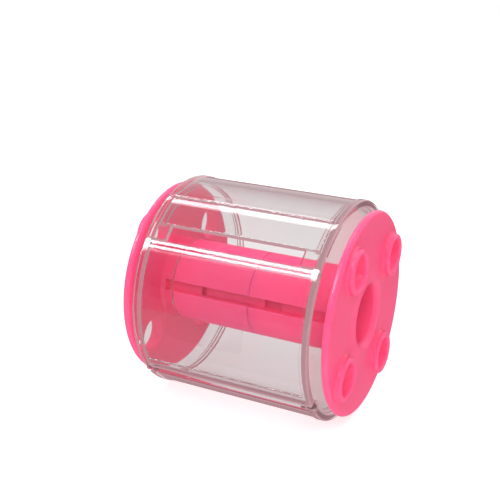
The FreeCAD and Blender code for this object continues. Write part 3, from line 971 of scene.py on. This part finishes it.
def slot_cutters(reel, side, slot_end):
    """Cutters of a half's two slots, and of the pocket in one of them, placed as in the right half."""
    past_seam, step_x = 1.0 * MM, reel.socket_depth - HOLD
    socket = reel.spigot + reel.socket_gap
    slot_turn = reel.ring_turn + FULL_TURN / 2.0 / reel.rings
    steps = [(-HOLD / 2.0, socket), (slot_end, socket)]
    if side == "left":
        steps = [(-past_seam, reel.bore), (step_x, reel.bore), (step_x, socket), (slot_end, socket)]
    cutters = [slot_box(reel, slot_turn + extra, steps) for extra in (0.0, FULL_TURN / 2.0)]
    if side == "right":
        pocket_ends = (reel.pocket_start, reel.pocket_start + reel.pocket_length)
        pocket = [(x, socket - reel.pocket_depth) for x in pocket_ends]
        cutters.append(slot_box(reel, slot_turn, pocket, flared=False))
    return cutters


class WINDER_OT_reel_halves(bpy.types.Operator):
    """Build both halves of the reel: ringed wheel, slotted core, spigot and socket"""

    bl_idname = "winder.reel_halves"
    bl_label = "Reel halves"

    def execute(self, context):
        reel, finish = context.scene.winder_reel, context.scene.winder_finish
        for side in ("right", "left"):
            skin, hub_angles, collar_r, outer_x, inner_x = wheel_skin(reel)
            outline = hub_outline(reel, outer_x, inner_x, collar_r, core_outline(reel, side))
            skin.grid(turned(outline, hub_angles), wrap_rows=True)
            cutters = slot_cutters(reel, side, inner_x - reel.foot)
            if side == "left":
                skin, cutters = skin.mirrored(), [cutter.mirrored() for cutter in cutters]
            piece = skin.piece("%s_reel" % side)
            combined(piece, [cutter.piece("cutter") for cutter in cutters], "DIFFERENCE")
            finish_piece(piece, "%s_reel_half" % side, "reel",
                         material_of(moulded_pink_styrene, finish))
        return {"FINISHED"}


# ---- studio ----

ABOVE = Vector((-0.43, 0.35, 0.83)).normalized()
IN_FRONT = Vector((-0.44, -0.53, 0.73)).normalized()


def softbox(name, direction, distance, size, power, aim):
    """A rectangular lamp in a direction from the object, facing it, its long side in line with the reel.

    It only lights: what reflections show is the room.
    """
    lamp = bpy.data.lights.new(name, "AREA")
    lamp.shape = "RECTANGLE"
    lamp.size, lamp.size_y = size
    lamp.energy = power
    away = Vector(direction).normalized()
    along = (Vector((1.0, 0.0, 0.0)) - away.x * away).normalized()
    turned_to = Matrix((along, away.cross(along), away)).transposed().to_4x4()
    holder = bpy.data.objects.new(name, lamp)
    holder.matrix_world = Matrix.Translation(aim + away * distance) @ turned_to
    holder.visible_glossy = holder.visible_transmission = False
    bpy.context.scene.collection.objects.link(holder)


def window_light(add, direction, towards, width, brightness, room):
    """A room's level with a long soft-edged window added, in a direction and in line with the reel."""
    reach, soft_edge = 0.5, 0.04            # on a unit sphere
    along = (Vector((1.0, 0.0, 0.0)) - towards.x * towards).normalized()
    facing = add("VectorMath", {0: direction, 1: towards}, operation="DOT_PRODUCT")
    seen = add("Math", {0: facing.outputs["Value"], 1: 0.0}, operation="GREATER_THAN")
    for axis, half in ((along, reach), (towards.cross(along), width / 2.0)):
        off = add("VectorMath", {0: direction, 1: axis}, operation="DOT_PRODUCT")
        off = add("Math", {0: off.outputs["Value"]}, operation="ABSOLUTE")
        inside = add("MapRange", {"Value": off, "From Min": half + soft_edge, "From Max": half - soft_edge},
                     interpolation_type="SMOOTHSTEP")
        seen = add("Math", {0: seen, 1: inside}, operation="MULTIPLY")
    return add("Math", {0: seen, 1: brightness, 2: room}, operation="MULTIPLY_ADD")


def light_room(add, finish, studio):
    """Even light for the surfaces, white for the camera, and a room for reflections.

    The room has dark walls, a brighter ceiling, the backdrop behind and two long windows. Light that has
    been reflected and then goes on through plastic meets one warm tone.
    """
    wall_top, ceiling_start = 0.5, 0.9      # heights on a unit sphere
    wall_back, backdrop_start = 0.1, 0.8    # and depths
    window_width, front_width = 0.1, 0.2
    first_step = 2.5                        # the world counts one step more than a surface does
    ray = add("LightPath").outputs
    direction = add("TexCoord").outputs["Generated"]
    parts = add("SeparateXYZ", {0: direction}).outputs
    room = add("MapRange", {"Value": parts["Z"], "From Min": wall_top, "From Max": ceiling_start,
                            "To Min": studio.walls, "To Max": studio.ceiling},
               interpolation_type="SMOOTHSTEP")
    behind = add("MapRange", {"Value": parts["Y"], "From Min": wall_back, "From Max": backdrop_start},
                 interpolation_type="SMOOTHSTEP")
    room = add("Mix", {0: behind, 2: room, 3: studio.backdrop})
    windows = window_light(add, direction, ABOVE, window_width, studio.window, room)
    windows = window_light(add, direction, IN_FRONT, front_width, studio.front_window, windows)
    once = add("Math", {0: ray["Glossy Depth"], 1: 0.5}, operation="GREATER_THAN")
    first, later = (add("Math", {0: ray["Ray Depth"], 1: first_step}, operation=compare)
                    for compare in ("LESS_THAN", "GREATER_THAN"))
    thrown = add("Math", {0: once, 1: later}, operation="MULTIPLY")
    room = add("Mix", {0: first, 2: room, 3: windows})
    level = studio.sky
    for kind, after in ((ray["Is Transmission Ray"], studio.backdrop), (ray["Is Glossy Ray"], room),
                        (thrown, studio.edges), (ray["Is Diffuse Ray"], studio.sky),
                        (ray["Is Camera Ray"], 1.0)):
        level = add("Mix", {0: kind, 2: level, 3: after})
    tone = add("Mix", {0: thrown, 6: WHITE, 7: finish.reflected}, data_type="RGBA")
    light = add("Background", {"Color": tone.outputs[2], "Strength": level})
    add("OutputWorld", {"Surface": light})


class WINDER_OT_studio(bpy.types.Operator):
    """Build the floor, the lamps, the even light and the camera"""

    bl_idname = "winder.studio"
    bl_label = "Studio"

    def execute(self, context):
        scene, studio, finish = context.scene, context.scene.winder_studio, context.scene.winder_finish
        half, count = 3.0, 9
        side = np.linspace(-half, half, count)
        level = np.full((count, count), -AXIS_HEIGHT)
        grid = np.stack(np.meshgrid(side, side, indexing="ij") + [level], axis=-1)
        skin = Skin()
        skin.grid(grid)
        floor = skin.piece("paper_floor")
        floor.data.materials.append(material_of(white_paper_floor, finish, studio))
        if floor.data.polygons[0].normal.z < 0.0:
            floor.data.flip_normals()
        world = bpy.data.worlds.new("studio_light")
        scene.world = world
        world.use_nodes = True
        world.node_tree.nodes.clear()
        light_room(partial(add_node, world.node_tree), finish, studio)
        aim = Vector((0.0, 0.0, AXIS_HEIGHT))
        softbox("top_softbox", ABOVE, 0.6, (0.5, 0.2), studio.top_power, aim)
        softbox("front_softbox", (0.45, -1.0, 1.1), 0.7, (0.3, 0.3), studio.front_power, aim)
        scene.view_settings.view_transform = "Standard"
        camera = bpy.data.cameras.new("camera")
        camera.sensor_width = 36.0
        camera.lens = studio.focal_length
        holder = bpy.data.objects.new("camera", camera)
        turned_to = Euler((math.pi / 2.0 - studio.camera_pitch, 0.0, studio.camera_heading)).to_matrix()
        rolled = turned_to @ Matrix.Rotation(studio.camera_roll, 3, "Z")
        holder.matrix_world = Matrix.Translation(studio.camera_place) @ rolled.to_4x4()
        scene.collection.objects.link(holder)
        scene.camera = holder
        return {"FINISHED"}


OPERATORS = (WINDER_OT_studio, WINDER_OT_back_shell, WINDER_OT_end_caps, WINDER_OT_front_door,
             WINDER_OT_hinge_pins, WINDER_OT_label_film, WINDER_OT_reel_halves)
GROUPS = {"winder_case": WinderCase, "winder_reel": WinderReel, "winder_finish": WinderFinish,
          "winder_studio": WinderStudio}


class WINDER_PT_pieces(bpy.types.Panel):
    """Lists the winder's pieces"""

    bl_idname = "WINDER_PT_pieces"
    bl_label = "Ribbon Winder"
    bl_space_type = "VIEW_3D"
    bl_region_type = "UI"
    bl_category = "Winder"

    def draw(self, context):
        for operator in OPERATORS:
            self.layout.operator(operator.bl_idname)


def register():
    """Register the property groups, the operators and the panel."""
    for name, group in GROUPS.items():
        bpy.utils.register_class(group)
        setattr(bpy.types.Scene, name, bpy.props.PointerProperty(type=group))
    for operator in OPERATORS:
        bpy.utils.register_class(operator)
    bpy.utils.register_class(WINDER_PT_pieces)


def unregister():
    """Take everything back that register added."""
    bpy.utils.unregister_class(WINDER_PT_pieces)
    for operator in reversed(OPERATORS):
        bpy.utils.unregister_class(operator)
    for name, group in reversed(GROUPS.items()):
        delattr(bpy.types.Scene, name)
        bpy.utils.unregister_class(group)


def main():
    """Build the winder and its studio."""
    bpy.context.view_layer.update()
    register()
    for operator in OPERATORS:
        group, name = operator.bl_idname.split(".")
        getattr(getattr(bpy.ops, group), name)()


if __name__ == "__main__":
    main()
